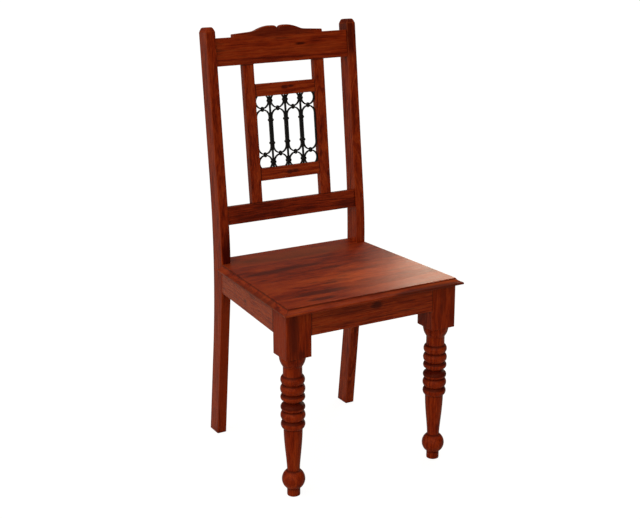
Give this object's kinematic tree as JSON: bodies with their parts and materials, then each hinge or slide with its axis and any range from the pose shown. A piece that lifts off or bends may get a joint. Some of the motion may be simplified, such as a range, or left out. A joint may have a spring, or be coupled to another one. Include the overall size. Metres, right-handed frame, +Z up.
{
  "type": "wooden dining chair",
  "caption": "Wooden dining chair with turned front legs, bent back posts, a carved crest rail, a moulded board seat and a panel of iron scrollwork in the back.",
  "frame": {"origin": "middle of the chair's footprint box, on the floor", "axes": "+Z up, -Y towards the front of the chair, +X to the right of a person who looks at its front"},
  "size_m": [0.4648, 0.4706, 1.008],
  "materials": {
    "frame_wood": "reddish brown stain under a satin lacquer",
    "seat_wood": "reddish brown stain with dark streaks under a satin lacquer",
    "block_wood": "plain sawn wood under the seat",
    "iron": "blackened, slightly shiny",
    "screw_steel": "zinc plated"
  },
  "bodies": {
    "root": {"back_post_left": "frame_wood", "back_post_right": "frame_wood", "front_leg_left": "frame_wood", "front_leg_right": "frame_wood", "crest_rail": "frame_wood", "lower_back_rail": "frame_wood", "back_stile_left": "frame_wood", "back_stile_right": "frame_wood", "upper_cross_rail": "frame_wood", "lower_cross_rail": "frame_wood", "front_apron": "frame_wood", "rear_apron": "frame_wood", "side_apron_left": "frame_wood", "side_apron_right": "frame_wood", "seat_board_1": "seat_wood", "seat_board_2": "seat_wood", "seat_board_3": "seat_wood", "seat_board_4": "seat_wood", "seat_board_5": "seat_wood", "corner_block_front_left": "block_wood", "corner_block_front_right": "block_wood", "corner_block_rear_left": "block_wood", "corner_block_rear_right": "block_wood", "grille_bar_left": "iron", "grille_bar_centre": "iron", "grille_bar_right": "iron", "grille_ring_top_1": "iron", "grille_loop_1": "iron", "grille_ring_bottom_1": "iron", "grille_ring_top_2": "iron", "grille_loop_2": "iron", "grille_ring_bottom_2": "iron", "grille_ring_top_3": "iron", "grille_loop_3": "iron", "grille_ring_bottom_3": "iron", "grille_ring_top_4": "iron", "grille_loop_4": "iron", "grille_ring_bottom_4": "iron", "grille_column_collars": "iron", "grille_cell_collars": "iron", "corner_block_screws": "screw_steel", "seat_screws": "screw_steel"}
  },
  "joints": []
}
